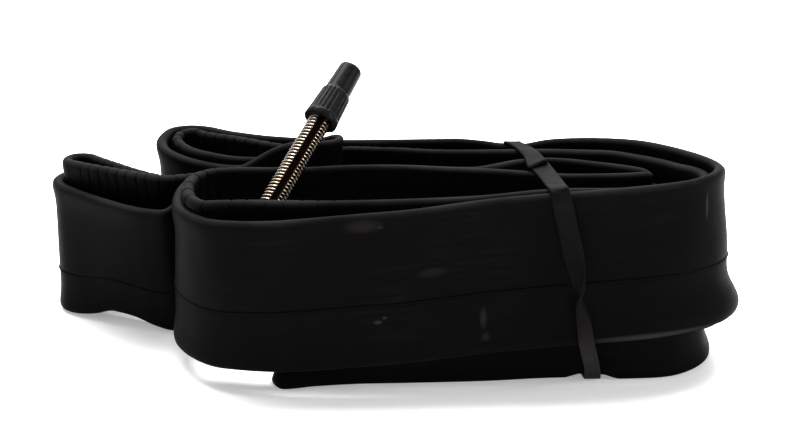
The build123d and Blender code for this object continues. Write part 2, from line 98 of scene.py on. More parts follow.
LEFT = [
    P(63.6, 323.2, 45.7), P(59, 321.5, 45.9), P(50, 320.5, 46), P(41.5, 320.3, 46), P(34, 322.0, 46),
    P(26, 324.0, 46), P(20.8, 325.0, 46), P(10.5, 327.0, 46), P(3.2, 328.4, 46),
    P(-6, 328.9, 46), P(-14.9, 328.4, 46), P(-23.5, 327.0, 46), P(-32, 326.6, 46),
    P(-42, 326.3, 46, rib=0.25), P(-48.4, 324.9, 46, rib=0.6), P(-52.0, 321.3, 46, rib=0.9, puff=0.3),
    P(-53.4, 316.0, 46, rib=1, puff=0.5), P(-52.8, 309.5, 46, rib=1, puff=0.6), P(-51.0, 302.4, 46, rib=1, puff=0.6),
    P(-47.4, 297.55, 46, rib=0.9, puff=0.5), P(-42, 296.75, 46.3, rib=0.75, puff=0.4),
    P(-36, 295.9, 46.7, rib=0.7, puff=0.3), P(-30, 295.0, 47, rib=0.7, puff=0.3), P(-23.7, 294.05, 47.3, rib=0.6, puff=0.2),
    P(-15.6, 293.0, 47.6, rib=0.45, b=(0, -1)), P(-7.6, 291.9, 48, rib=0.15, b=(0, -1.5)), P(2.8, 291.0, 48.5, b=(0, -1.5)),
    P(18.7, 291.9, 49, b=(0, -2)), P(36, 293.5, 50, b=(0, -2.2)), P(50, 293.7, 50.3, b=(0, -2.2)),
    P(62, 294.6, 50.3, b=(0, -1.5), bulge=-0.7), P(70, 297.6, 50, t=(-1, 0.6), bulge=-1.7, puff=0.3),
    P(75.7, 303.4, 49.4, b=(0.6, 0), t=(-1.8, 0.6), bulge=-2.8, puff=0.6), P(78.3, 312, 49, b=(1, 0), t=(-2.2, 0), bulge=-2.8, puff=0.8),
    P(77.5, 320.5, 48, b=(0.6, 0), t=(-2, -0.6), bulge=-2.4, puff=0.8), P(74.2, 327.6, 47, t=(-1.6, -1.2), bulge=-1.4, puff=0.8),
    P(69.8, 334.2, 46.4, t=(-1, -1.4), bulge=-0.7, puff=0.7), P(64.4, 339.2, 46, t=(-0.6, -1), puff=0.6),
    P(58, 342.2, 46, puff=0.5), P(50, 343.5, 46, puff=0.4), P(40, 344.2, 46, puff=0.3),
    P(27.6, 344.0, 46, puff=0.2), P(10.9, 344.4, 46, rib=0.15), P(-1, 346.8, 45.8, rib=0.45), P(-4.4, 347.6, 45.6, rib=0.6),
    P(-12, 350.0, 45.2, rib=0.6), P(-20, 350.7, 45, rib=0.7), P(-30, 350.4, 45.4, rib=0.8),
    P(-38, 351.7, 46.2, rib=0.9), P(-47.3, 356.6, 46.5, rib=1, puff=0.3), P(-55.5, 361.5, 46.5, rib=1, puff=0.5),
    P(-59.8, 364.3, 46.9, rib=1, puff=0.5), P(-62.6, 364.0, 46.4, rib=1, puff=0.5), P(-63.8, 361.2, 45.8, rib=1, puff=0.5),
    P(-62.4, 357.3, 45.0, rib=0.8, puff=0.5), P(-58.2, 352.5, 44.2, rib=0.15, puff=0.5), P(-52, 349.4, 43.6, puff=0.4),
    P(-46, 347.5, 43.2, puff=0.2), P(-38, 347.0, 43.3), P(-30, 347.4, 45.2), P(-23, 348.0, 47.6),
    P(-19.8, 348.0, 49.0, t=(1.2, 0)), P(-18.3, 345.8, 49.5, t=(1.6, 0)), P(-18.6, 343.0, 49.4, t=(2.0, 0)),
    P(-20.8, 341.1, 49.2, t=(1.6, 0)), P(-24, 340.1, 49.2, t=(0.4, 0.2), puff=0.2), P(-28.7, 339.6, 49.1, t=(0, 0.6), puff=0.3),
    P(-31.5, 339.4, 48.3, t=(0, 1.2), puff=0.4), P(-35, 339.2, 46.9, t=(0, 1.5), puff=0.4), P(-38, 338.9, 45.3, t=(0, 1.5), puff=0.4),
    P(-41.5, 338.6, 43.4, t=(0, 1.2), puff=0.3), P(-45, 338.3, 42.0, t=(0, 0.6), rib=0.2), P(-50, 337.1, 40.8, rib=0.5), P(-56.4, 335.8, 40.8, rib=0.8),
    P(-61, 335.3, 41, rib=0.8), P(-66.5, 336.5, 41.6, rib=0.8, puff=0.2), P(-71.5, 338.7, 42.2, rib=0.8, puff=0.3),
    P(-77, 342, 42.8, rib=0.6, puff=0.4), P(-82.5, 345.9, 43.2, rib=0.4, puff=0.5), P(-87.3, 348.8, 43.5, rib=0.1, puff=0.5, t=(0.8, 0)),
    P(-91.0, 348.4, 43.6, puff=0.5, t=(1.1, 0)), P(-92.6, 345.5, 43.7, puff=0.5, t=(1.2, 0)), P(-91.6, 342.5, 43.8, puff=0.5, t=(1.1, -0.5)),
    P(-88, 340, 44.0, rib=0.3, puff=0.5, t=(0.6, -0.9)), P(-82, 336.9, 44.1, rib=0.8, puff=0.6, t=(0, -1.6)),
    P(-75, 333.4, 44.2, rib=1, puff=0.7, t=(0, -2.4)), P(-69.5, 330.8, 44.2, rib=1, puff=0.7, t=(0, -2.8)),
    P(-65.2, 329.0, 44.0, rib=1, puff=0.6, t=(0, -2.6)), P(-61.9, 328.4, 43.6, rib=1, puff=0.5, t=(0, -1.8)),
    P(-58.4, 330.3, 43.1, rib=1, puff=0.4, t=(0, -0.8)), P(-53.6, 333.2, 42.6, rib=0.9, puff=0.2), P(-47, 334.7, 42.4, rib=0.5),
    P(-36, 335.1, 42.4), P(-25, 335.6, 42.6), P(-15, 336.9, 42.8), P(0, 337.4, 43),
    P(10, 336.3, 43), P(20, 335.4, 43), P(30, 338.0, 43), P(38, 340.1, 43),
    P(46.6, 339.7, 42.6), P(54.8, 337.3, 42, b=(0.5, 0.3)), P(62.3, 334.2, 41.2, b=(1.8, 0.8)), P(68.8, 329.6, 40.2, b=(4, 1.4)),
    P(73.9, 323.3, 39.2, b=(5.6, 0.6)), P(75.5, 315, 38.6, b=(5.0, 0)), P(73.4, 306.0, 38.2, b=(4.0, -1.2)),
    P(67.0, 299.8, 38, b=(2.0, -2.2)), P(57, 297.5, 38, b=(0, -1.8)), P(40, 297.3, 38, b=(0, -1)),
    P(20, 295.8, 38, b=(0, -1.6)), P(0, 295.4, 38, b=(0, -2.4)), P(-12, 296.1, 38, b=(0, -4)),
    P(-19, 296.9, 37.8, b=(-2, -6.4), puff=0.5), P(-24.4, 297.2, 37.0, b=(-4.6, -7.4), puff=0.5),
]
RIGHT = [
    P(63.6, 325.8, 45.8), P(60.8, 327.2, 46.1), P(55.8, 329.0, 46.4), P(50.8, 331, 46.5), P(45.3, 333.2, 46.5),
    P(38.8, 333.9, 46.5), P(31, 331.6, 46.5), P(25, 328.9, 46.1), P(20, 327.9, 45.6),
    P(10.5, 329.8, 45.2), P(3.2, 331.2, 45.1), P(-6, 331.6, 45.1), P(-15, 331.0, 45.1),
    P(-23.5, 329.8, 45.1), P(-32, 329.4, 45.1), P(-42, 329.1, 45.0), P(-49.5, 327.8, 44.9, puff=0.2),
    P(-54.4, 323.8, 44.6, puff=0.5, t=(0.8, 0)), P(-56.8, 317.5, 43.8, puff=0.9, t=(1.4, 0)), P(-56.8, 310.5, 43.2, puff=1.1, t=(1.5, 0)),
    P(-55.3, 304, 43, puff=1.1, t=(1.2, 0.2)), P(-51.6, 297.8, 43, puff=1.0, t=(0.5, 0.2)), P(-45.6, 291.6, 43.3, puff=0.9),
    P(-39, 288.0, 44, puff=0.7), P(-30, 286.3, 44.6, puff=0.5, b=(0, -0.8)), P(-21.9, 286.3, 45.2, puff=0.3, b=(0, -1.6)),
    P(-10, 286.8, 46.2, puff=0.1, b=(0, -2.0)), P(1.9, 287.2, 47.2, b=(0, -2.2)), P(18.6, 288.8, 48.8, b=(0, -2.4)),
    P(35.3, 290.4, 50, b=(0, -2.8)), P(49.5, 290.6, 51, b=(0, -2.6)), P(61.4, 291.2, 52, b=(0, -1.8), bulge=0.9),
    P(70.6, 293.7, 52.3, t=(-1.4, 0.6), bulge=2.0), P(77.2, 299, 52.4, t=(-2.2, 0.8), bulge=3.0, puff=0.2),
    P(81.2, 306, 52.0, t=(-2.9, 0.4), bulge=3.2, puff=0.4), P(82.4, 314, 51.1, t=(-3.1, -0.4), bulge=3.1, puff=0.6),
    P(81.0, 322, 50.5, t=(-2.9, -1.2), bulge=2.5, puff=0.7), P(77.6, 330, 49.9, t=(-2.2, -1.6), bulge=2.0, puff=0.7),
    P(72.6, 337, 49.4, t=(-1.4, -1.4), bulge=0.8, puff=0.6), P(66.4, 343, 48.9, t=(-0.8, -1), puff=0.5),
    P(58.6, 347.4, 48.1, puff=0.4), P(49.1, 350.2, 47.6, puff=0.3), P(40.8, 351.2, 46.9, puff=0.2), P(34.5, 351.4, 45.7), P(28.6, 351.6, 45.8, puff=0.1),
    P(22, 352.2, 46.5), P(16.6, 352.8, 46.8), P(5.1, 353.4, 46.6), P(-12, 353.7, 46.1), P(-22, 353.6, 46.1),
    P(-30.5, 353.6, 46.8), P(-37.8, 354.9, 47, puff=0.1), P(-48.5, 360, 47, puff=0.3), P(-56, 364.5, 47.3, puff=0.5),
    P(-62, 367.5, 46.9, puff=0.7), P(-66.5, 366.9, 46.3, puff=0.8), P(-68.5, 362.4, 44.9, puff=0.9), P(-67.0, 357.2, 43.6, puff=0.9),
    P(-62, 351.6, 42.6, puff=0.8), P(-54.5, 346.9, 41.8, puff=0.6), P(-47, 344.7, 41.4, puff=0.3), P(-40, 344.3, 41.8),
    P(-31, 344.8, 43.6), P(-24.6, 345.3, 44.9), P(-21.9, 345.4, 44.6), P(-21.1, 344.3, 44.4),
    P(-21.9, 343.2, 44.0), P(-25.6, 342.6, 44.6), P(-31, 341.9, 44.9, t=(0, 0.6)), P(-37, 341.5, 42.6, t=(0, 0.6)),
    P(-43, 341.0, 41), P(-50, 339.9, 39.6), P(-56.4, 338.7, 39.2), P(-61, 338.3, 39), P(-66, 339.4, 39, seam=13),
    P(-70.4, 341.5, 39, seam=12), P(-75.6, 344.8, 39, seam=11.5, puff=0.4), P(-81, 348.6, 38.8, seam=11.5, puff=0.6),
    P(-86.5, 352.0, 38.5, seam=11.5, puff=0.8, t=(0.8, 0)), P(-91.5, 352.4, 38, seam=11.5, puff=0.8, t=(1.2, 0)),
    P(-94.8, 349.2, 38, seam=11.8, puff=0.8, t=(1.2, 0)), P(-95.7, 344.6, 38, b=(0.4, 0), seam=12, puff=0.8, t=(1.3, 0)),
    P(-93.7, 340.2, 37.9, b=(0.2, 0), seam=12, puff=0.8, t=(1.2, -0.6), lift=0.1), P(-89.6, 337, 37.8, seam=11.8, puff=0.8, t=(1, -1.8), lift=0.5),
    P(-83.5, 334, 37.6, seam=11.5, puff=0.8, t=(0.6, -4), lift=1.8), P(-79.3, 331.9, 37.5, seam=11.2, puff=0.8, t=(0.3, -5), lift=3.4),
    P(-76.3, 330.5, 37.4, seam=11, puff=0.8, t=(0, -5.6), lift=3.5),
    P(-70.8, 328, 37.3, seam=11, puff=0.8, t=(0, -7), lift=2.9), P(-65.8, 326.0, 37.3, seam=11.5, puff=0.7, t=(0.6, -8), lift=1.2),
    P(-61.4, 325.3, 37.5, seam=12, puff=0.5, t=(1.2, -8)), P(-57.0, 327.3, 38.8, seam=13, t=(0, -2.2)), P(-52, 330.4, 40.5),
    P(-46, 331.9, 42), P(-36, 332.3, 42.5), P(-25, 332.8, 42.6), P(-15, 334.1, 42.8),
    P(0, 334.6, 43), P(10, 333.5, 43), P(20, 332.4, 43), P(30, 335.2, 43),
    P(38, 337.3, 43), P(46, 336.9, 42.6), P(54, 334.5, 42, b=(0.5, 0.3)), P(61, 331.5, 41.2, b=(1.8, 0.8)),
    P(67, 327.6, 40.2, b=(3.6, 1.2)), P(71.2, 322, 39.2, b=(5.2, 0.6)), P(72.7, 315, 38.6, b=(4.6, 0)), P(70.8, 307.5, 38.2, b=(3.6, -1)),
    P(65.4, 302.5, 38, b=(1.8, -1.8)), P(56.5, 300.3, 38, b=(0, -1.4)), P(40, 300.0, 38, b=(0, -0.8)), P(20, 298.5, 38, b=(0, -1.2)),
    P(0, 298.2, 38, b=(0, -1.8)), P(-12, 298.8, 38, b=(0, -2.6)), P(-19, 299.5, 37.8, b=(-2, -3.2), puff=0.5),
    P(-24.4, 299.6, 37.0, b=(-4.6, -2.4), puff=0.5),
]
END_A = P(64.8, 324.5, 45.2)
END_B = P(-25.6, 298.4, 36.4, b=(-5.4, -4.6), puff=0.4)


def spline(rows, step):
    """Closed centripetal Catmull-Rom through rows; every column is carried."""
    p = np.array(rows, float)
    n = len(p)
    out = []
    for i in range(n):
        q = [p[i - 1], p[i], p[(i + 1) % n], p[(i + 2) % n]]
        t = [0.0]
        for a, b in zip(q, q[1:]):
            t.append(t[-1] + max(np.hypot(*(b[:2] - a[:2])), 1e-6) ** 0.5)
        k = max(2, int(np.hypot(*(q[2][:2] - q[1][:2])) / step))
        u = (t[1] + (t[2] - t[1]) * np.arange(k) / k)[:, None]
        a1 = (t[1] - u) / (t[1] - t[0]) * q[0] + (u - t[0]) / (t[1] - t[0]) * q[1]
        a2 = (t[2] - u) / (t[2] - t[1]) * q[1] + (u - t[1]) / (t[2] - t[1]) * q[2]
        a3 = (t[3] - u) / (t[3] - t[2]) * q[2] + (u - t[2]) / (t[3] - t[2]) * q[3]
        b1 = (t[2] - u) / (t[2] - t[0]) * a1 + (u - t[0]) / (t[2] - t[0]) * a2
        b2 = (t[3] - u) / (t[3] - t[1]) * a2 + (u - t[1]) / (t[3] - t[1]) * a3
        out.append((t[2] - u) / (t[2] - t[1]) * b1 + (u - t[1]) / (t[2] - t[1]) * b2)
    return np.vstack(out)


# centre points of the creases that cross the strip, on the left layer
CREASES = [
    (-85.5, 338.8), (-82.8, 337.3), (-79.8, 335.8), (-76.9, 334.3), (-74.2, 333.0), (-71.5, 331.7),
    (-68.6, 330.4), (-65.9, 329.3), (-62.7, 328.5), (-59.5, 329.6), (-56.6, 331.4),
    (-53.4, 319.9), (-52.9, 313.4), (-51.8, 307.6), (-50.4, 302.6), (-46.6, 297.7),
    (-50.8, 323.2), (-48.0, 325.2), (-45.2, 326.0),
    (-40.4, 296.6), (-36.6, 296.0), (-31.9, 295.3), (-27.4, 294.6), (-23.3, 294.0), (-19.5, 293.5), (-15.7, 293.0),
    (-63.4, 364.1), (-65.7, 361.3), (-64.9, 358.4), (-61.6, 355.1),
    (-58.2, 363.0), (-54.9, 361.2), (-51.8, 359.4), (-48.9, 357.6), (-46.1, 355.9), (-42.7, 353.9), (-39.3, 352.2), (-35.9, 351.3),
    (-32.5, 350.6), (-28.6, 350.4), (-24.9, 350.5), (-21.6, 350.6),
    (-18.4, 350.6), (-15.2, 350.4), (-11.1, 349.7), (-7.8, 348.8), (-4.6, 347.7), (-0.4, 346.6),
]


rows = [END_A] + LEFT + [END_B] + RIGHT[::-1]
fine = spline(rows, 0.12)
seg = np.hypot(*(np.roll(fine[:, :2], -1, 0) - fine[:, :2]).T)
S = np.concatenate([[0], np.cumsum(seg)])
LOOP = S[-1]
fine_c = np.vstack([fine, fine[:1]])


def at_s(s):
    s = np.mod(s, LOOP)
    return np.stack([np.interp(s, S, fine_c[:, c]) for c in range(fine_c.shape[1])], -1)


# places along the run where the mesh is cut
stations = []
s = 0.0
probe = np.arange(0, LOOP, 0.25)
probe_rows = at_s(probe)
tan = at_s(probe + 0.5)[:, :2] - at_s(probe - 0.5)[:, :2]
ang = np.unwrap(np.arctan2(tan[:, 1], tan[:, 0]))
curv = np.abs(np.gradient(ang, 0.25))
while s < LOOP - 0.2:
    stations.append(s)
    k = min(int(s / 0.25), len(probe) - 1)
    lo = max(0, k - 6)
    rib_near = probe_rows[lo:k + 10, 7].max()
    c = curv[lo:k + 8].max()
    st = 1.1
    if c > 0.08:
        st = 0.6
    if c > 0.25:
        st = 0.3
    if rib_near > 0.05:
        st = min(st, 0.26)
    if rib_near > 0.4:
        st = min(st, 0.17)
    s += st
stations = np.array(stations)
R = at_s(stations)
tan = at_s(stations + 0.55)[:, :2] - at_s(stations - 0.55)[:, :2]
tan /= np.hypot(tan[:, 0], tan[:, 1])[:, None]
nrm = np.stack([-tan[:, 1], tan[:, 0]], -1)      # left of travel: the outward face

# heights of the mesh rows on one face, as parts below and above the seam
low = np.array([0.0, 0.012, 0.035, 0.07, 0.115, 0.17, 0.24, 0.34, 0.46, 0.58, 0.70, 0.82, 0.90, 0.945])
near = np.array([-0.55, -0.32, -0.14, 0.0, 0.14, 0.32, 0.55])
ridge = np.array([0.0, -0.10, 0.10, 0.32, 0.24, -0.02, 0.0])
high = np.array([0.05, 0.10, 0.17, 0.25, 0.34, 0.43, 0.52, 0.61, 0.69, 0.76, 0.82, 0.87, 0.905, 0.935, 0.957, 0.974, 0.987, 0.996, 1.0])
nS = len(stations)
seam_h = R[:, 10][:, None]
h_face = np.concatenate([low[None] * seam_h, seam_h + near[None], seam_h + high[None] * (H - seam_h)], 1)
ridge_face = np.concatenate([np.zeros(len(low)), ridge, np.zeros(len(high))])
nF = h_face.shape[1]

# creases across the strip
creases = []
c = 0.0
while c < LOOP:
    creases.append(c)
    c += rng.uniform(2.5, 3.4)
n_left = int(np.argmin(np.hypot(fine[:, 0] - END_B[0], fine[:, 1] - END_B[1])))
placed = []
for cx, cy in CREASES:
    k = int(np.argmin(np.hypot(fine[:n_left, 0] - cx, fine[:n_left, 1] - cy)))
    placed.append(S[k])
creases = placed + [c for c in creases if min(abs(c - p) for p in placed) > 2.9]
creases = np.array(creases)
depth_of = rng.uniform(0.7, 1.0, len(creases))
d = stations[:, None] - creases[None]
d = (d + LOOP / 2) % LOOP - LOOP / 2
groove = (depth_of[None] * np.exp(-(d / 0.26) ** 2)).max(1)
between = 1 - np.clip(np.abs(d).min(1) / 1.5, 0, 1)      # 1 at a crease, 0 midway
dome = 1 - between ** 2
rib = np.clip(R[:, 7], 0, 1)


def face_points(sign):
    """Points of one face: sign +1 is the outward face (left of travel)."""
    h = h_face
    edge = np.minimum(h, H - h)
    puff = R[:, 8][:, None]
    re = 1.12 + 0.62 * puff
    wm = 0.88 + 0.12 * puff
    w_edge = np.sqrt(np.clip(re ** 2 - (re - np.minimum(edge, re)) ** 2, 0, None))
    w_in = wm + (re - wm) * np.exp(-(np.clip(edge - re, 0, None) / (2.0 + 1.6 * puff)) ** 2)
    w = np.where(edge < re, w_edge, w_in)
    fade = 0.25 + 0.75 * sstep(h, 4.0, 22.0)
    tip = np.clip(edge / 1.2, 0, 1)
    w = w - (0.58 * rib[:, None] * groove[:, None] - 0.16 * rib[:, None] * dome[:, None]) * fade * (0.35 + 0.65 * tip) * np.clip(w / 0.8, 0, 1)
    if sign > 0:
        w = w + ridge_face[None] * 1.0
    ss = stations[:, None]
    w = w + np.clip(edge / 4, 0, 1) * (smooth_noise(ss + 3 * np.sin(h / 9), [(17, 0.035), (9.3, 0.02), (41, 0.05)], 11 + sign, LOOP))
    return w


def place(h, off):
    """Strip coordinates to mm in the object frame; off is the distance left of travel."""
    k = h / H
    lean = np.hypot(R[:, 3] - R[:, 5], R[:, 4] - R[:, 6])
    squash = np.sqrt(np.clip(1 - (lean / H) ** 2, 0.5, 1)) 
    top = R[:, 2]
    low_edge = np.maximum(top - H * squash, 0.0)
    x = R[:, 0] + SX
    y = R[:, 1] + SY
    # the band lifts the lower edge a little where it passes under
    bx = (38.0 + SX + 0.206 * 51.0 + 0.11 * (290.0 + SY)) - 0.11 * y
    lift = 1.15 * np.clip((6.5 - np.abs(x + R[:, 3] - bx)) / 3.5, 0, 1) ** 1.0
    low_edge = np.maximum(low_edge, lift) + R[:, 11]
    top = top + smooth_noise(stations, [(38, 0.06), (95, 0.12)], 5, LOOP) * np.clip((top - 37.5) / 2, 0, 1)
    z = low_edge[:, None] + k * (top - low_edge)[:, None]
    fb = (1 - k) ** 2.8
    ft = k ** 1.4
    belly = np.exp(-((h - 3.0) / 5.2) ** 2) + 0.16 * np.exp(-((h - 18) / 8.0) ** 2)
    wave = smooth_noise(stations[:, None] + h * 0.5, [(37, 0.10), (21, 0.06), (71, 0.16)], 3, LOOP) * np.sin(np.pi * k) ** 0.5
    o = off + R[:, 9][:, None] * belly + wave
    X = x[:, None] + R[:, 3][:, None] * fb + R[:, 5][:, None] * ft + nrm[:, 0][:, None] * o
    Y = y[:, None] + R[:, 4][:, None] * fb + R[:, 6][:, None] * ft + nrm[:, 1][:, None] * o
    z = z - (0.36 * rib * groove)[:, None] * sstep(k, 0.9, 1.0)
    return np.stack([X, Y, z], -1)


wl = face_points(+1)
wr = face_points(-1)
left_pts = place(h_face, wl)                 # bottom to top
right_pts = place(h_face, -wr)
ring = np.concatenate([left_pts, right_pts[:, -2:0:-1]], 1)      # nS x nU x 3
nU = ring.shape[1]
hh = np.concatenate([h_face, (2 * H - h_face)[:, -2:0:-1]], 1)
uv = np.stack([np.repeat(stations[:, None] / 100.0, nU, 1), hh / 100.0], -1)
faces = grid_faces(nS, nU)
faces = faces[:, ::-1]
tube = mesh_object("tube_rubber", ring.reshape(-1, 3), faces, uv.reshape(-1, 2))
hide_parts("inner_tube")
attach(tube, "bundle")
print("tube", nS, nU, nS * nU, "loop", round(LOOP, 1))


# ------------------------------------------------------------------ the band
# Both edges of the band's middle surface, in mm: the x, y, z of edge A and of
# edge B, layout axes. A is on the left at the front until the half twist.
BAND_T = 0.9
BAND_ROWS = [
    (28.83, 351.37, 46.00, 33.36, 351.15, 46.00),
    (30.11, 348.91, 46.20, 34.27, 348.91, 46.20),
    (31.27, 344.64, 46.50, 35.31, 345.27, 46.50),
    (32.29, 338.15, 46.90, 36.46, 340.29, 46.90),
    (32.93, 331.34, 47.00, 37.17, 332.25, 47.90),
    (32.95, 325.59, 47.00, 37.66, 325.83, 48.50),
    (33.06, 322.21, 46.95, 37.76, 323.40, 48.70),
    (33.42, 322.12, 46.60, 38.07, 324.22, 48.20),
    (33.86, 322.08, 46.45, 38.49, 325.00, 47.60),
    (34.33, 318.35, 46.90, 39.06, 320.08, 47.70),
    (34.70, 308.47, 48.20, 39.67, 308.51, 48.50),
    (34.83, 298.42, 49.60, 39.57, 296.61, 50.20),
    (34.78, 290.45, 50.90, 39.31, 289.13, 51.50),
    (35.00, 289.20, 50.51, 39.64, 288.90, 50.74),
    (35.22, 288.60, 49.13, 39.95, 288.30, 49.35),
    (35.78, 288.50, 46.47, 40.70, 288.20, 46.57),
    (36.64, 288.40, 43.06, 41.64, 288.00, 42.70),
    (37.55, 288.30, 39.12, 42.60, 287.70, 39.09),
    (38.49, 288.10, 35.20, 43.33, 287.20, 35.52),
    (39.60, 287.60, 31.86, 43.65, 286.00, 32.46),
    (41.01, 287.20, 28.47, 43.25, 284.20, 29.89),
    (42.08, 286.90, 26.43, 42.77, 283.00, 27.97),
    (42.79, 286.60, 25.14, 42.12, 282.40, 26.73),
    (43.68, 286.40, 23.69, 41.60, 282.60, 25.24),
    (44.69, 286.20, 21.72, 41.52, 283.40, 22.88),
    (45.40, 285.90, 19.79, 41.71, 284.40, 20.43),
    (45.91, 285.60, 17.34, 42.13, 284.90, 17.64),
    (46.39, 285.40, 14.58, 42.59, 285.20, 14.66),
    (47.24, 286.60, 11.43, 43.31, 286.40, 11.52),
    (48.44, 289.60, 7.42, 44.51, 289.40, 7.52),
    (49.36, 292.40, 3.98, 45.39, 292.20, 4.08),
    (49.94, 294.60, 0.85, 45.70, 294.60, 0.85),
    (49.70, 297.50, 0.50, 45.46, 297.50, 0.50),
    (48.32, 310.00, 0.50, 44.08, 310.00, 0.50),
    (46.66, 325.00, 0.55, 42.42, 325.00, 0.55),
    (44.88, 340.00, 1.20, 40.64, 340.00, 1.20),
    (43.44, 349.00, 3.40, 39.20, 349.00, 3.40),
    (42.44, 352.40, 6.40, 38.20, 352.40, 6.40),
    (41.46, 353.70, 10.50, 37.22, 353.70, 10.50),
    (40.54, 353.60, 15.00, 36.30, 353.60, 15.00),
    (39.67, 354.34, 19.00, 35.52, 353.46, 19.00),
    (38.40, 356.26, 23.00, 35.15, 353.54, 23.00),
    (36.05, 357.72, 26.50, 36.05, 353.48, 26.50),
    (33.71, 356.26, 30.00, 36.95, 353.54, 30.00),
    (32.43, 354.34, 34.00, 36.58, 353.46, 34.00),
    (31.36, 353.60, 39.00, 35.60, 353.60, 39.00),
    (30.53, 353.60, 43.00, 34.77, 353.60, 43.00),
    (30.14, 353.00, 45.20, 34.38, 353.00, 45.20),
]


def closed_spline(rows, counts):
    p = np.array(rows, float)
    n = len(p)
    out = []
    for i in range(n):
        q = [p[i - 1], p[i], p[(i + 1) % n], p[(i + 2) % n]]
        t = [0.0]
        for a, b in zip(q, q[1:]):
            t.append(t[-1] + max(np.linalg.norm((b[:3] + b[3:6] - a[:3] - a[3:6]) / 2), 1e-6) ** 0.5)
        k = counts
        u = (t[1] + (t[2] - t[1]) * np.arange(k) / k)[:, None]
        a1 = (t[1] - u) / (t[1] - t[0]) * q[0] + (u - t[0]) / (t[1] - t[0]) * q[1]
        a2 = (t[2] - u) / (t[2] - t[1]) * q[1] + (u - t[1]) / (t[2] - t[1]) * q[2]
        a3 = (t[3] - u) / (t[3] - t[2]) * q[2] + (u - t[2]) / (t[3] - t[2]) * q[3]
        b1 = (t[2] - u) / (t[2] - t[0]) * a1 + (u - t[0]) / (t[2] - t[0]) * a2
        b2 = (t[3] - u) / (t[3] - t[1]) * a2 + (u - t[1]) / (t[3] - t[1]) * a3
        out.append((t[2] - u) / (t[2] - t[1]) * b1 + (u - t[1]) / (t[2] - t[1]) * b2)
    return np.vstack(out)


def make_band():
    q = closed_spline(BAND_ROWS, 8)
    A, B = q[:, :3] + [SX, SY, 0], q[:, 3:6] + [SX, SY, 0]
    mid = (A + B) / 2
    tan = np.roll(mid, -1, 0) - np.roll(mid, 1, 0)
    tan /= np.linalg.norm(tan, axis=1)[:, None]
    wide = B - A
    wide -= (wide * tan).sum(1)[:, None] * tan
    half = np.linalg.norm(B - A, axis=1) / 2
    wide /= np.linalg.norm(wide, axis=1)[:, None]
    thick = np.cross(tan, wide)
    r = BAND_T / 2
    ring = []
    for a in np.linspace(-90, 90, 7):
        ring.append((1, math.cos(math.radians(a)) * r - r, math.sin(math.radians(a)) * r))
    for e in (0.75, 0.4, 0.0, -0.4, -0.75):
        ring.append((e, 0.0, r))
    for a in np.linspace(90, 270, 7):
        ring.append((-1, math.cos(math.radians(a)) * r + r, math.sin(math.radians(a)) * r))
    for e in (-0.75, -0.4, 0.0, 0.4, 0.75):
        ring.append((e, 0.0, -r))
    n, m = len(q), len(ring)
    # the edges' true line, so that a slanting end of a fold keeps its slant
    arc = np.concatenate([[0], np.cumsum(np.linalg.norm(np.roll(mid, -1, 0) - mid, axis=1))])[:-1]
    wob = smooth_noise(arc, [(13, 0.07), (7, 0.04), (31, 0.10)], 21, arc[-1])
    pts = np.empty((n, m, 3))
    for j, (e, dx, dz) in enumerate(ring):
        base = mid + (B - A) / 2 * e
        dish = (1 - e * e) * wob
        pts[:, j] = base + wide * dx + thick * (dz * (1.0 + 0.05 * e) + dish)[:, None] if np.ndim(dish) else base
    uvs = np.stack([np.repeat(arc[:, None] / 100.0, m, 1), np.repeat(np.linspace(0, 0.1, m)[None], n, 0)], -1)
    f = grid_faces(n, m, wrap_n=False)
    # after two half twists the ends meet again, point for point
    last = [((n - 1) * m + j, j, (j + 1) % m, (n - 1) * m + (j + 1) % m) for j in range(m)]
    f = np.vstack([f, np.array(last)])[:, ::-1]
    return mesh_object("band_rubber", pts.reshape(-1, 3), f, uvs.reshape(-1, 2))


band = make_band()
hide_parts("rubber_band")
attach(band, "bundle")


# ------------------------------------------------------------- valve stem, cap
AXIS = np.array([0.425523, 0.667252, 0.611314])
AXIS /= np.linalg.norm(AXIS)
VBASE = np.array([-37.4 + SX, 298.0 + SY, 34.6])
VX = np.cross(AXIS, [0, 0, 1.0])
VX /= np.linalg.norm(VX)
VY = np.cross(AXIS, VX)
STEM_TOP, PITCH, CREST, DEPTH = 40.1, 1.0, 2.94, 0.34
FLAT_AT, FLAT_TURN = 2.75, math.radians(130.0)


def valve_points(t, r, phi):
    """t along the stem, r and phi around it; arrays of one shape."""
    return VBASE + t[..., None] * AXIS + (r * np.cos(phi))[..., None] * VX + (r * np.sin(phi))[..., None] * VY


def lathe(name, t, r, phi):
    n, m = t.shape
    uvs = np.stack([t, (phi - phi[0, 0]) / (2 * np.pi)], -1)
    return mesh_object(name, valve_points(t, r, phi).reshape(-1, 3), grid_faces(n, m)[:, ::-1], uvs.reshape(-1, 2))


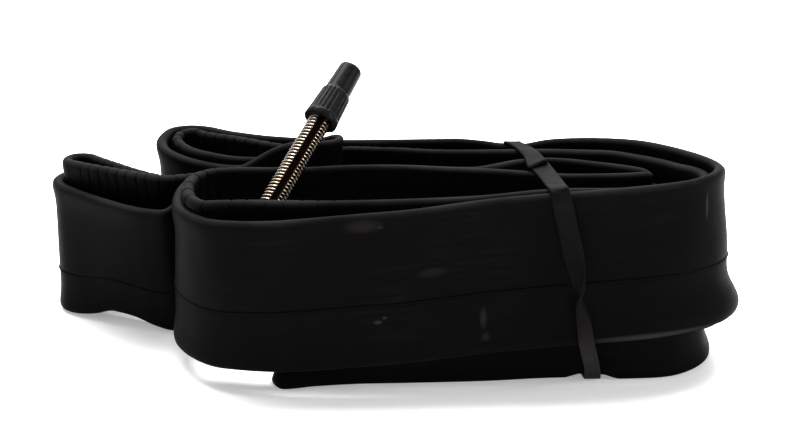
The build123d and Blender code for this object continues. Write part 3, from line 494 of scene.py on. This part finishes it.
def make_stem():
    m = 192
    phi = FLAT_TURN + np.arange(m) * 2 * np.pi / m
    th = np.arange(9.0, 39.55, PITCH / 14)
    t = np.concatenate([[3.1, 4.1, 4.1, 6.0, 8.6], th, [39.75, 40.1, 40.1, 26.6, 26.6, 3.1]])
    r0 = np.concatenate([[4.0, 4.0, 3.0, 3.0, 3.0], np.full(len(th), CREST), [2.75, 2.45, 2.1, 2.1, 1.4, 1.4]])
    T = np.repeat(t[:, None], m, 1)
    R0 = np.repeat(r0[:, None], m, 1)
    PH = np.repeat(phi[None], len(t), 0)
    i0, i1 = 5, 5 + len(th)
    ph = np.mod((T[i0:i1] - (PH[i0:i1] - FLAT_TURN) * PITCH / (2 * np.pi)) / PITCH, 1.0)
    cut = (0.5 - 0.5 * np.cos(2 * np.pi * ph)) ** 1.25
    ends = sstep(T[i0:i1], 9.0, 10.2) * (1 - sstep(T[i0:i1], 38.9, 39.5))
    R0[i0:i1] = CREST - DEPTH * cut * ends
    flat = FLAT_AT / np.maximum(np.abs(np.cos(PH[i0:i1] - FLAT_TURN)), 0.2)
    # the two flats are plain, the thread runs only on the rounds between them
    R0[i0:i1] = np.where(flat < CREST - 0.012, flat, R0[i0:i1])
    return lathe("stem_thread", T, R0, PH)


stem = make_stem()
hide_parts("valve_stem")
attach(stem, "bundle")


def make_cap():
    m = 240
    phi = np.arange(m) * 2 * np.pi / m
    c0 = 39.5
    prof = [(c0 + 0.0, 4.30, 0), (c0 + 0.08, 4.46, 0), (c0 + 0.3, 4.55, 0), (c0 + 1.55, 4.47, 0), (c0 + 1.75, 4.44, 0), (c0 + 1.88, 4.36, 0.2)]
    for k in range(13):
        f = k / 12
        prof.append((c0 + 1.98 + f * 7.0, 4.38 - 0.42 * f, 1.0 if 0 < k < 12 else 0.75))
    prof += [(c0 + 9.15, 3.93, 0.45), (c0 + 9.35, 3.80, 0.15), (c0 + 9.55, 3.62, 0), (c0 + 9.7, 3.50, 0), (c0 + 9.95, 3.46, 0)]
    for k in range(1, 9):
        prof.append((c0 + 9.95 + k * 0.95, 3.46 - 0.30 * k / 8, 0))
    for a in range(10, 91, 10):
        prof.append((c0 + 17.58 + 0.92 * math.sin(math.radians(a)), 2.24 + 0.92 * math.cos(math.radians(a)), 0))
    prof += [(c0 + 18.5, 1.2, 0), (c0 + 18.5, 0.5, 0)]
    # from the middle of the cavity's end, down the inside, round the mouth and up
    inner = [(c0 + 16.3, 0.8, 0), (c0 + 16.3, 2.3, 0), (c0 + 16.1, 2.5, 0), (48.05, 2.5, 0), (48.0, 2.7, 0), (40.7, 2.7, 0), (40.5, 3.1, 0), (c0 + 0.12, 3.1, 0), (c0, 3.25, 0)]
    p = np.array(inner + prof)
    T = np.repeat(p[:, :1], m, 1)
    R0 = np.repeat(p[:, 1:2], m, 1)
    PH = np.repeat(phi[None], len(p), 0)
    x = np.mod(PH * 20 / (2 * np.pi), 1.0) - 0.5
    R0 = R0 - 0.25 * np.exp(-(x / 0.17) ** 2) * p[:, 2:3]
    v = valve_points(T, R0, PH).reshape(-1, 3)
    n = len(p)
    ends = np.array([VBASE + (c0 + 16.3) * AXIS, VBASE + (c0 + 18.5) * AXIS])
    f = [tuple(q) for q in grid_faces(n, m, wrap_n=False)[:, ::-1]]
    f += [(n * m, (j + 1) % m, j) for j in range(m)]
    f += [(n * m + 1, (n - 1) * m + j, (n - 1) * m + (j + 1) % m) for j in range(m)]
    uvs = np.vstack([np.stack([T / 100.0, PH / (2 * np.pi)], -1).reshape(-1, 2), [[0.55, 0], [0.58, 0]]])
    return mesh_object("cap_shell", np.vstack([v, ends]), f, uvs)


cap = make_cap()
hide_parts("dust_cap")
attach(cap, "cap")


# ---------------------------------------------------------------- materials
def new_material(name):
    m = bpy.data.materials.new(name)
    m.use_nodes = True
    nt = m.node_tree
    nt.nodes.clear()
    out = nt.nodes.new("ShaderNodeOutputMaterial")
    bsdf = nt.nodes.new("ShaderNodeBsdfPrincipled")
    nt.links.new(bsdf.outputs[0], out.inputs[0])
    return m, nt, bsdf


def node(nt, kind, **props):
    n = nt.nodes.new(kind)
    for k, v in props.items():
        if k.startswith("i_"):
            n.inputs[k[2:].replace("_", " ")].default_value = v
        else:
            setattr(n, k, v)
    return n


def ramp(nt, src, stops):
    n = nt.nodes.new("ShaderNodeValToRGB")
    while len(n.color_ramp.elements) < len(stops):
        n.color_ramp.elements.new(0.5)
    for e, (p, c) in zip(n.color_ramp.elements, stops):
        e.position = p
        e.color = (c[0], c[1], c[2], 1) if isinstance(c, tuple) else (c, c, c, 1)
    nt.links.new(src, n.inputs[0])
    return n.outputs[0]


def run_at(x, y):
    """Length along the run at the point of it nearest to a layout point."""
    return S[int(np.argmin(np.hypot(fine[:, 0] - x, fine[:, 1] - y)))]


# light marks on the outward face: run and height in decimetres, half sizes, strength
SCUFFS = [(run_at(x, 285.0) / 100, h / 100, ru, rv, p) for x, h, ru, rv, p in (
    (-5.2, 11.0, 0.012, 0.006, 0.6), (-3.6, 12.0, 0.007, 0.005, 0.5), (20.2, 9.0, 0.010, 0.030, 0.34), (20.8, 4.4, 0.012, 0.012, 0.25),
    (-8.5, 35.2, 0.050, 0.020, 0.22), (-4.5, 34.6, 0.008, 0.005, 0.35), (7.8, 22.0, 0.040, 0.014, 0.16))]
SCUFFS += [(run_at(77.5, 292.0) / 100, 0.31, 0.006, 0.040, 0.6), (run_at(61.0, 285.0) / 100, 0.010, 0.18, 0.009, 0.6)]


def rubber(name, base=(0.010, 0.0098, 0.0102), rough=0.46, spec=0.22, dust=0.5, grain=2600.0, use_uv=True, painted_floor_light=False):
    m, nt, b = new_material(name)
    tc = nt.nodes.new("ShaderNodeTexCoord")
    L = nt.links.new
    # broad tone changes
    n1 = node(nt, "ShaderNodeTexNoise", i_Scale=55.0, i_Detail=4.0, i_Roughness=0.55)
    L(tc.outputs["Object"], n1.inputs["Vector"])
    # streaks drawn along the strip
    mp = nt.nodes.new("ShaderNodeMapping")
    mp.inputs["Scale"].default_value = (3.0, 42.0, 1.0) if use_uv else (160.0, 160.0, 160.0)
    L(tc.outputs["UV" if use_uv else "Object"], mp.inputs["Vector"])
    n2 = node(nt, "ShaderNodeTexNoise", i_Scale=2.2 if use_uv else 1.0, i_Detail=5.0, i_Roughness=0.6)
    L(mp.outputs[0], n2.inputs["Vector"])
    # fine grain
    n3 = node(nt, "ShaderNodeTexNoise", i_Scale=grain, i_Detail=2.0, i_Roughness=0.6)
    L(tc.outputs["Object"], n3.inputs["Vector"])
    d1 = ramp(nt, n1.outputs["Fac"], [(0.42, 0.0), (0.72, 1.0)])
    d2 = ramp(nt, n2.outputs["Fac"], [(0.45, 0.0), (0.75, 1.0)])
    mul = node(nt, "ShaderNodeMath", operation="MULTIPLY")
    L(d1, mul.inputs[0]); L(d2, mul.inputs[1])
    amt = node(nt, "ShaderNodeMath", operation="MULTIPLY")
    L(mul.outputs[0], amt.inputs[0]); amt.inputs[1].default_value = dust
    mix = node(nt, "ShaderNodeMix", data_type="RGBA")
    mix.inputs["A"].default_value = (*base, 1)
    mix.inputs["B"].default_value = (0.020, 0.0195, 0.021, 1)
    L(amt.outputs[0], mix.inputs["Factor"])
    colour = mix.outputs["Result"]
    if painted_floor_light:
        # painted light: paler towards the floor, standing in for the light the white floor throws up onto the band
        so = nt.nodes.new("ShaderNodeSeparateXYZ")
        L(tc.outputs["Object"], so.inputs[0])
        lm = node(nt, "ShaderNodeMix", data_type="RGBA")
        L(ramp(nt, so.outputs[2], [(0.0, 1.0), (0.009, 0.9), (0.020, 0.0)]), lm.inputs["Factor"])
        L(colour, lm.inputs["A"])
        lm.inputs["B"].default_value = (0.017, 0.0148, 0.0148, 1)
        colour = lm.outputs["Result"]
    if use_uv:
        # lighter along the upper edge, partly dust and partly a painted rim highlight, and scuffs
        su = nt.nodes.new("ShaderNodeSeparateXYZ")
        L(tc.outputs["UV"], su.inputs[0])
        rim_dust_and_highlight = ramp(nt, su.outputs[1], [(0.0, 0.0), (0.366, 0.0), (0.375, 0.32), (0.386, 0.32), (0.394, 0.0)])
        wn = node(nt, "ShaderNodeMath", operation="MULTIPLY")
        L(rim_dust_and_highlight, wn.inputs[0])
        L(ramp(nt, n1.outputs["Fac"], [(0.30, 0.25), (0.60, 1.0)]), wn.inputs[1])
        total = wn.outputs[0]
        for at_u, at_v, ru, rv, power in SCUFFS:
            dx = node(nt, "ShaderNodeMath", operation="SUBTRACT")
            L(su.outputs[0], dx.inputs[0]); dx.inputs[1].default_value = at_u
            dx2 = node(nt, "ShaderNodeMath", operation="DIVIDE")
            L(dx.outputs[0], dx2.inputs[0]); dx2.inputs[1].default_value = ru
            dy = node(nt, "ShaderNodeMath", operation="SUBTRACT")
            L(su.outputs[1], dy.inputs[0]); dy.inputs[1].default_value = at_v
            dy2 = node(nt, "ShaderNodeMath", operation="DIVIDE")
            L(dy.outputs[0], dy2.inputs[0]); dy2.inputs[1].default_value = rv
            px = node(nt, "ShaderNodeMath", operation="POWER"); L(dx2.outputs[0], px.inputs[0]); px.inputs[1].default_value = 2.0
            py = node(nt, "ShaderNodeMath", operation="POWER"); L(dy2.outputs[0], py.inputs[0]); py.inputs[1].default_value = 2.0
            sm = node(nt, "ShaderNodeMath", operation="ADD"); L(px.outputs[0], sm.inputs[0]); L(py.outputs[0], sm.inputs[1])
            spot = ramp(nt, sm.outputs[0], [(0.0, power), (1.0, 0.0)])
            ad = node(nt, "ShaderNodeMath", operation="ADD")
            L(total, ad.inputs[0]); L(spot, ad.inputs[1])
            total = ad.outputs[0]
        # the painted rim highlight with dust along the upper edge, and the scuffs, lighten the base colour
        wm = node(nt, "ShaderNodeMix", data_type="RGBA")
        L(total, wm.inputs["Factor"])
        L(colour, wm.inputs["A"])
        wm.inputs["B"].default_value = (0.026, 0.0238, 0.0245, 1)
        colour = wm.outputs["Result"]
    L(colour, b.inputs["Base Color"])
    r = node(nt, "ShaderNodeMapRange")
    r.inputs["To Min"].default_value = rough - 0.06
    r.inputs["To Max"].default_value = rough + 0.12
    L(n2.outputs["Fac"], r.inputs["Value"])
    L(r.outputs[0], b.inputs["Roughness"])
    b.inputs["Specular IOR Level"].default_value = spec
    bump = nt.nodes.new("ShaderNodeBump")
    bump.inputs["Strength"].default_value = 0.10
    bump.inputs["Distance"].default_value = 0.00006
    L(n3.outputs["Fac"], bump.inputs["Height"])
    bump2 = nt.nodes.new("ShaderNodeBump")
    bump2.inputs["Strength"].default_value = 0.25
    bump2.inputs["Distance"].default_value = 0.0002
    L(n1.outputs["Fac"], bump2.inputs["Height"])
    L(bump.outputs[0], bump2.inputs["Normal"])
    L(bump2.outputs[0], b.inputs["Normal"])
    return m


def metal(name, base, rough, tint=(0.25, 0.18, 0.1), spots=0.3):
    m, nt, b = new_material(name)
    L = nt.links.new
    tc = nt.nodes.new("ShaderNodeTexCoord")
    n1 = node(nt, "ShaderNodeTexNoise", i_Scale=420.0, i_Detail=4.0, i_Roughness=0.6)
    L(tc.outputs["Object"], n1.inputs["Vector"])
    n2 = node(nt, "ShaderNodeTexNoise", i_Scale=2400.0, i_Detail=2.0, i_Roughness=0.5)
    L(tc.outputs["Object"], n2.inputs["Vector"])
    f = ramp(nt, n1.outputs["Fac"], [(0.45, 0.0), (0.8, spots)])
    mix = node(nt, "ShaderNodeMix", data_type="RGBA")
    mix.inputs["A"].default_value = (*base, 1)
    mix.inputs["B"].default_value = (*tint, 1)
    L(f, mix.inputs["Factor"])
    L(mix.outputs["Result"], b.inputs["Base Color"])
    b.inputs["Metallic"].default_value = 1.0
    r = node(nt, "ShaderNodeMapRange")
    r.inputs["To Min"].default_value = rough * 0.75
    r.inputs["To Max"].default_value = rough * 1.4
    L(n1.outputs["Fac"], r.inputs["Value"])
    L(r.outputs[0], b.inputs["Roughness"])
    bump = nt.nodes.new("ShaderNodeBump")
    bump.inputs["Strength"].default_value = 0.12
    bump.inputs["Distance"].default_value = 0.00003
    L(n2.outputs["Fac"], bump.inputs["Height"])
    L(bump.outputs[0], b.inputs["Normal"])
    return m


def plastic(name, base=(0.012, 0.012, 0.0125), rough=0.3, spec=0.5):
    m, nt, b = new_material(name)
    L = nt.links.new
    tc = nt.nodes.new("ShaderNodeTexCoord")
    n1 = node(nt, "ShaderNodeTexNoise", i_Scale=700.0, i_Detail=3.0, i_Roughness=0.6)
    L(tc.outputs["Object"], n1.inputs["Vector"])
    c = ramp(nt, n1.outputs["Fac"], [(0.3, base), (0.8, tuple(v * 1.9 for v in base))])
    L(c, b.inputs["Base Color"])
    r = node(nt, "ShaderNodeMapRange")
    r.inputs["To Min"].default_value = rough - 0.05
    r.inputs["To Max"].default_value = rough + 0.12
    L(n1.outputs["Fac"], r.inputs["Value"])
    L(r.outputs[0], b.inputs["Roughness"])
    b.inputs["Specular IOR Level"].default_value = spec
    bump = nt.nodes.new("ShaderNodeBump")
    bump.inputs["Strength"].default_value = 0.08
    bump.inputs["Distance"].default_value = 0.00003
    L(n1.outputs["Fac"], bump.inputs["Height"])
    L(bump.outputs[0], b.inputs["Normal"])
    return m


def paint(obj, mat):
    obj.data.materials.clear() if obj.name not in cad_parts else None
    if len(obj.material_slots) == 0:
        obj.data.materials.append(mat)
    for sl in obj.material_slots:
        sl.material = mat


M_TUBE = rubber("butyl_rubber", base=(0.0025, 0.0022, 0.0025), rough=0.40, spec=0.0054, dust=0.15)
M_BAND = rubber("band_rubber", base=(0.0037, 0.0032, 0.0034), rough=0.5, spec=0.011, dust=0.30, grain=3500.0, use_uv=False, painted_floor_light=True)
M_PATCH = rubber("patch_rubber", base=(0.009, 0.009, 0.0095), rough=0.55, spec=0.2, dust=0.25, use_uv=False)
M_SEAL = rubber("seal_rubber", base=(0.014, 0.014, 0.014), rough=0.5, spec=0.3, dust=0.1, use_uv=False)
M_STEM = metal("plated_brass", (0.50, 0.40, 0.31), 0.16, tint=(0.26, 0.16, 0.10), spots=0.8)
nt = M_STEM.node_tree
bs = next(n for n in nt.nodes if n.type == "BSDF_PRINCIPLED")
tcs = nt.nodes.new("ShaderNodeTexCoord")
sep = nt.nodes.new("ShaderNodeSeparateXYZ")
nt.links.new(tcs.outputs["UV"], sep.inputs[0])
sub = node(nt, "ShaderNodeMath", operation="SUBTRACT")
nt.links.new(sep.outputs[0], sub.inputs[0])
nt.links.new(sep.outputs[1], sub.inputs[1])
frc = node(nt, "ShaderNodeMath", operation="FRACT")
nt.links.new(sub.outputs[0], frc.inputs[0])
# painted shade: the base colour is darkened in the thread's grooves, so that only the crests stay bright
dark = ramp(nt, frc.outputs[0], [(0.04, 1.0), (0.20, 0.05), (0.76, 0.02), (0.95, 1.0)])
# painted dark reflection on the plain flats, at the start and the middle of the turn: a dull brown base colour
tri = node(nt, "ShaderNodeMath", operation="PINGPONG")
nt.links.new(sep.outputs[1], tri.inputs[0])
tri.inputs[1].default_value = 0.25
isflat = ramp(nt, tri.outputs[0], [(0.050, 1.0), (0.056, 0.0)])
painted_groove_and_flat_shade = node(nt, "ShaderNodeMix", data_type="RGBA")
nt.links.new(isflat, painted_groove_and_flat_shade.inputs["Factor"])
nt.links.new(dark, painted_groove_and_flat_shade.inputs["A"])
painted_groove_and_flat_shade.inputs["B"].default_value = (0.11, 0.088, 0.078, 1)
# the painted groove shade and the painted flat reflection darken the stem's own colour
mul = node(nt, "ShaderNodeMix", data_type="RGBA", blend_type="MULTIPLY")
mul.inputs["Factor"].default_value = 1.0
old = bs.inputs["Base Color"].links[0].from_socket
nt.links.new(old, mul.inputs["A"])
nt.links.new(painted_groove_and_flat_shade.outputs["Result"], mul.inputs["B"])
nt.links.new(mul.outputs["Result"], bs.inputs["Base Color"])
M_CORE = metal("core_brass", (0.400, 0.310, 0.170), 0.25, tint=(0.42, 0.28, 0.12))
M_CAP = plastic("cap_plastic", base=(0.0040, 0.0039, 0.0042), rough=0.24, spec=0.04)

tube.data.materials.append(M_TUBE)
band.data.materials.append(M_BAND)
stem.data.materials.append(M_STEM)
cap.data.materials.append(M_CAP)
for n, m in (("valve_patch", M_PATCH), ("valve_stem", M_STEM), ("core_body", M_CORE), ("core_seal", M_SEAL),
             ("core_pin", M_CORE), ("pin_seal", M_SEAL), ("lock_nut", M_CORE), ("dust_cap", M_CAP), ("rubber_band", M_BAND)):
    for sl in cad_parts[n].material_slots:
        sl.material = m

# ------------------------------------------------------------- floor, light
floor = mesh_object("floor", [(-3000, -3000, 0), (3000, -3000, 0), (3000, 5000, 0), (-3000, 5000, 0)], [(0, 1, 2, 3)], smooth=False)
mf, nt, b = new_material("floor_white")
nz = node(nt, "ShaderNodeTexNoise", i_Scale=3.0)
c = ramp(nt, nz.outputs["Fac"], [(0.3, (0.90, 0.90, 0.905)), (0.7, (0.93, 0.93, 0.93))])
nt.links.new(c, b.inputs["Base Color"])
b.inputs["Roughness"].default_value = 0.9
b.inputs["Specular IOR Level"].default_value = 0.1
b.inputs["Emission Color"].default_value = (1, 1, 1, 1)
b.inputs["Emission Strength"].default_value = 0.28
floor.data.materials.append(mf)

world = bpy.data.worlds.new("studio")
bpy.context.scene.world = world
world.use_nodes = True
wt = world.node_tree
bg = wt.nodes["Background"]
bg.inputs[1].default_value = 1.1
# a white room with one soft dark flag high up in front, which keeps the
# upward faces of metal and rubber deep while their edges still catch light
wtc = wt.nodes.new("ShaderNodeTexCoord")
wdot = wt.nodes.new("ShaderNodeVectorMath")
wdot.operation = "DOT_PRODUCT"
wdot.inputs[1].default_value = (0.25, -0.45, 0.857)
wt.links.new(wtc.outputs["Generated"], wdot.inputs[0])
wmap = wt.nodes.new("ShaderNodeMapRange")
wmap.interpolation_type = "SMOOTHSTEP"
wmap.inputs["From Min"].default_value = 0.60
wmap.inputs["From Max"].default_value = 0.90
wmap.inputs["To Min"].default_value = 1.0
wmap.inputs["To Max"].default_value = 0.02
wt.links.new(wdot.outputs["Value"], wmap.inputs["Value"])
wt.links.new(wmap.outputs[0], bg.inputs[0])


def area(name, loc, target, size, power, size_y=None):
    ld = bpy.data.lights.new(name, "AREA")
    ld.energy = power
    ld.size = size
    if size_y:
        ld.shape = "RECTANGLE"
        ld.size_y = size_y
    ob = bpy.data.objects.new(name, ld)
    bpy.context.scene.collection.objects.link(ob)
    ob.location = loc
    d = [t - l for t, l in zip(target, loc)]
    from mathutils import Vector
    ob.rotation_euler = Vector(d).to_track_quat("-Z", "Y").to_euler()
    return ob


area("top_soft", (0.0, 0.28, 0.9), (0, 0, 0.02), 1.0, 30.0, 0.45)
area("back_soft", (0.0, 1.2, 0.75), (0, 0, 0.03), 1.8, 15.0, 0.5)
area("right_strip", (0.80, -0.23, 0.36), (0, 0, 0.04), 0.22, 3.2, 0.5)

cam_data = bpy.data.cameras.new("camera")
cam = bpy.data.objects.new("camera", cam_data)
bpy.context.scene.collection.objects.link(cam)
cam_data.sensor_width = 36.0
cam_data.lens = 58.5
cam_data.clip_start = 0.01
cam_data.clip_end = 50
cam.location = (SX * MM, SY * MM, 0.1403)
cam.rotation_euler = (math.radians(90 - 18.46), 0, 0)
bpy.context.scene.camera = cam
bpy.context.scene.view_settings.view_transform = "Standard"
